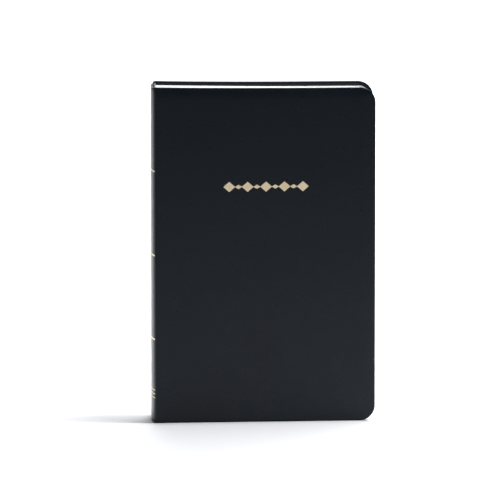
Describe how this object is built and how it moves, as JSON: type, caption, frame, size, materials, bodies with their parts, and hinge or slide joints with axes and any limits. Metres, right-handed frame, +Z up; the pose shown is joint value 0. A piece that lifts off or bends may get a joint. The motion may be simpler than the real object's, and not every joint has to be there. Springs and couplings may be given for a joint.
{
  "type": "leather-bound devotional book",
  "caption": "Closed devotional book in limp black leather, rounded spine, gold rules and ornament; covers, endpapers and sewn sections hinge open at the spine.",
  "frame": {"origin": "bottom centre of the book's box: the tail edge stands on z = 0", "axes": "+Z up along the spine from tail to head; the front cover faces -Y; the spine is at -X and the fore edge at +X"},
  "size_m": [0.1424, 0.025, 0.218],
  "materials": {
    "leather": "satin",
    "board": "matte",
    "lining_paper": "matte",
    "leaf_paper": "matte",
    "endpaper": "matte",
    "gauze": "matte",
    "thread": "matte",
    "band_cloth": "satin",
    "gold_foil": "satin"
  },
  "bodies": {
    "spine": {"spine_skin": "leather", "spine_inlay": "board", "spine_lining": "lining_paper", "mull": "gauze", "headband": "band_cloth", "tailband": "band_cloth", "spine_rule_1": "gold_foil", "spine_rule_2": "gold_foil", "spine_rule_3": "gold_foil", "spine_rule_4": "gold_foil", "spine_rule_5": "gold_foil", "spine_rule_6": "gold_foil", "sewing_thread_1": "thread", "sewing_thread_2": "thread", "sewing_thread_3": "thread", "sewing_thread_4": "thread", "sewing_thread_5": "thread", "sewing_thread_6": "thread"},
    "front_cover": {"front_cover_skin": "leather", "front_board": "board", "front_pastedown": "endpaper", "cover_ornament": "gold_foil"},
    "back_cover": {"back_cover_skin": "leather", "back_board": "board", "back_pastedown": "endpaper"},
    "front_flyleaf": {"front_flyleaf": "endpaper"},
    "back_flyleaf": {"back_flyleaf": "endpaper"},
    "signature_01": {"signature_01": "leaf_paper"},
    "signature_02": {"signature_02": "leaf_paper"},
    "signature_03": {"signature_03": "leaf_paper"},
    "signature_04": {"signature_04": "leaf_paper"},
    "signature_05": {"signature_05": "leaf_paper"},
    "signature_06": {"signature_06": "leaf_paper"},
    "signature_07": {"signature_07": "leaf_paper"},
    "signature_08": {"signature_08": "leaf_paper"},
    "signature_09": {"signature_09": "leaf_paper"},
    "signature_10": {"signature_10": "leaf_paper"},
    "signature_11": {"signature_11": "leaf_paper"},
    "signature_12": {"signature_12": "leaf_paper"},
    "signature_13": {"signature_13": "leaf_paper"},
    "signature_14": {"signature_14": "leaf_paper"},
    "signature_15": {"signature_15": "leaf_paper"},
    "signature_16": {"signature_16": "leaf_paper"},
    "signature_17": {"signature_17": "leaf_paper"},
    "signature_18": {"signature_18": "leaf_paper"},
    "signature_19": {"signature_19": "leaf_paper"},
    "signature_20": {"signature_20": "leaf_paper"}
  },
  "joints": [
    {"name": "front_cover_hinge", "type": "hinge", "parent": "spine", "child": "front_cover", "pos_m": [-0.06825, -0.0125, 0.109], "axis": [0, 0, -1], "range_deg": [0, 180]},
    {"name": "back_cover_hinge", "type": "hinge", "parent": "spine", "child": "back_cover", "pos_m": [-0.06825, 0.0125, 0.109], "axis": [0, 0, 1], "range_deg": [0, 180]},
    {"name": "front_flyleaf_hinge", "type": "hinge", "parent": "spine", "child": "front_flyleaf", "pos_m": [-0.068, -0.01, 0.109], "axis": [0, 0, -1], "range_deg": [0, 84]},
    {"name": "back_flyleaf_hinge", "type": "hinge", "parent": "spine", "child": "back_flyleaf", "pos_m": [-0.068, 0.01, 0.109], "axis": [0, 0, 1], "range_deg": [0, 84]},
    {"name": "signature_01_fold", "type": "hinge", "parent": "spine", "child": "signature_01", "pos_m": [-0.06785, -0.00936, 0.109], "axis": [0, 0, -1], "range_deg": [0, 75]},
    {"name": "signature_02_fold", "type": "hinge", "parent": "spine", "child": "signature_02", "pos_m": [-0.06798, -0.00837, 0.109], "axis": [0, 0, -1], "range_deg": [0, 67.5]},
    {"name": "signature_03_fold", "type": "hinge", "parent": "spine", "child": "signature_03", "pos_m": [-0.06808, -0.00739, 0.109], "axis": [0, 0, -1], "range_deg": [0, 60]},
    {"name": "signature_04_fold", "type": "hinge", "parent": "spine", "child": "signature_04", "pos_m": [-0.06815, -0.0064, 0.109], "axis": [0, 0, -1], "range_deg": [0, 52.5]},
    {"name": "signature_05_fold", "type": "hinge", "parent": "spine", "child": "signature_05", "pos_m": [-0.06821, -0.00542, 0.109], "axis": [0, 0, -1], "range_deg": [0, 45]},
    {"name": "signature_06_fold", "type": "hinge", "parent": "spine", "child": "signature_06", "pos_m": [-0.06826, -0.00443, 0.109], "axis": [0, 0, -1], "range_deg": [0, 37.5]},
    {"name": "signature_07_fold", "type": "hinge", "parent": "spine", "child": "signature_07", "pos_m": [-0.0683, -0.00345, 0.109], "axis": [0, 0, -1], "range_deg": [0, 30]},
    {"name": "signature_08_fold", "type": "hinge", "parent": "spine", "child": "signature_08", "pos_m": [-0.06832, -0.00246, 0.109], "axis": [0, 0, -1], "range_deg": [0, 22.5]},
    {"name": "signature_09_fold", "type": "hinge", "parent": "spine", "child": "signature_09", "pos_m": [-0.06834, -0.00148, 0.109], "axis": [0, 0, -1], "range_deg": [0, 15]},
    {"name": "signature_10_fold", "type": "hinge", "parent": "spine", "child": "signature_10", "pos_m": [-0.06835, -0.00049, 0.109], "axis": [0, 0, -1], "range_deg": [0, 7.5]},
    {"name": "signature_11_fold", "type": "hinge", "parent": "spine", "child": "signature_11", "pos_m": [-0.06835, 0.00049, 0.109], "axis": [0, 0, 1], "range_deg": [0, 7.5]},
    {"name": "signature_12_fold", "type": "hinge", "parent": "spine", "child": "signature_12", "pos_m": [-0.06834, 0.00148, 0.109], "axis": [0, 0, 1], "range_deg": [0, 15]},
    {"name": "signature_13_fold", "type": "hinge", "parent": "spine", "child": "signature_13", "pos_m": [-0.06832, 0.00246, 0.109], "axis": [0, 0, 1], "range_deg": [0, 22.5]},
    {"name": "signature_14_fold", "type": "hinge", "parent": "spine", "child": "signature_14", "pos_m": [-0.0683, 0.00345, 0.109], "axis": [0, 0, 1], "range_deg": [0, 30]},
    {"name": "signature_15_fold", "type": "hinge", "parent": "spine", "child": "signature_15", "pos_m": [-0.06826, 0.00443, 0.109], "axis": [0, 0, 1], "range_deg": [0, 37.5]},
    {"name": "signature_16_fold", "type": "hinge", "parent": "spine", "child": "signature_16", "pos_m": [-0.06821, 0.00542, 0.109], "axis": [0, 0, 1], "range_deg": [0, 45]},
    {"name": "signature_17_fold", "type": "hinge", "parent": "spine", "child": "signature_17", "pos_m": [-0.06815, 0.0064, 0.109], "axis": [0, 0, 1], "range_deg": [0, 52.5]},
    {"name": "signature_18_fold", "type": "hinge", "parent": "spine", "child": "signature_18", "pos_m": [-0.06808, 0.00739, 0.109], "axis": [0, 0, 1], "range_deg": [0, 60]},
    {"name": "signature_19_fold", "type": "hinge", "parent": "spine", "child": "signature_19", "pos_m": [-0.06798, 0.00837, 0.109], "axis": [0, 0, 1], "range_deg": [0, 67.5]},
    {"name": "signature_20_fold", "type": "hinge", "parent": "spine", "child": "signature_20", "pos_m": [-0.06785, 0.00936, 0.109], "axis": [0, 0, 1], "range_deg": [0, 75]}
  ],
  "couplings": [
    {"joint": "front_flyleaf_hinge", "follows": "front_cover_hinge", "ratio": 0.46666},
    {"joint": "back_flyleaf_hinge", "follows": "back_cover_hinge", "ratio": 0.46666},
    {"joint": "signature_01_fold", "follows": "front_cover_hinge", "ratio": 0.41666},
    {"joint": "signature_02_fold", "follows": "front_cover_hinge", "ratio": 0.375},
    {"joint": "signature_03_fold", "follows": "front_cover_hinge", "ratio": 0.33333},
    {"joint": "signature_04_fold", "follows": "front_cover_hinge", "ratio": 0.29166},
    {"joint": "signature_05_fold", "follows": "front_cover_hinge", "ratio": 0.25},
    {"joint": "signature_06_fold", "follows": "front_cover_hinge", "ratio": 0.20833},
    {"joint": "signature_07_fold", "follows": "front_cover_hinge", "ratio": 0.16666},
    {"joint": "signature_08_fold", "follows": "front_cover_hinge", "ratio": 0.125},
    {"joint": "signature_09_fold", "follows": "front_cover_hinge", "ratio": 0.08333},
    {"joint": "signature_10_fold", "follows": "front_cover_hinge", "ratio": 0.04166},
    {"joint": "signature_11_fold", "follows": "back_cover_hinge", "ratio": 0.04166},
    {"joint": "signature_12_fold", "follows": "back_cover_hinge", "ratio": 0.08333},
    {"joint": "signature_13_fold", "follows": "back_cover_hinge", "ratio": 0.125},
    {"joint": "signature_14_fold", "follows": "back_cover_hinge", "ratio": 0.16666},
    {"joint": "signature_15_fold", "follows": "back_cover_hinge", "ratio": 0.20833},
    {"joint": "signature_16_fold", "follows": "back_cover_hinge", "ratio": 0.25},
    {"joint": "signature_17_fold", "follows": "back_cover_hinge", "ratio": 0.29166},
    {"joint": "signature_18_fold", "follows": "back_cover_hinge", "ratio": 0.33333},
    {"joint": "signature_19_fold", "follows": "back_cover_hinge", "ratio": 0.375},
    {"joint": "signature_20_fold", "follows": "back_cover_hinge", "ratio": 0.41666}
  ]
}
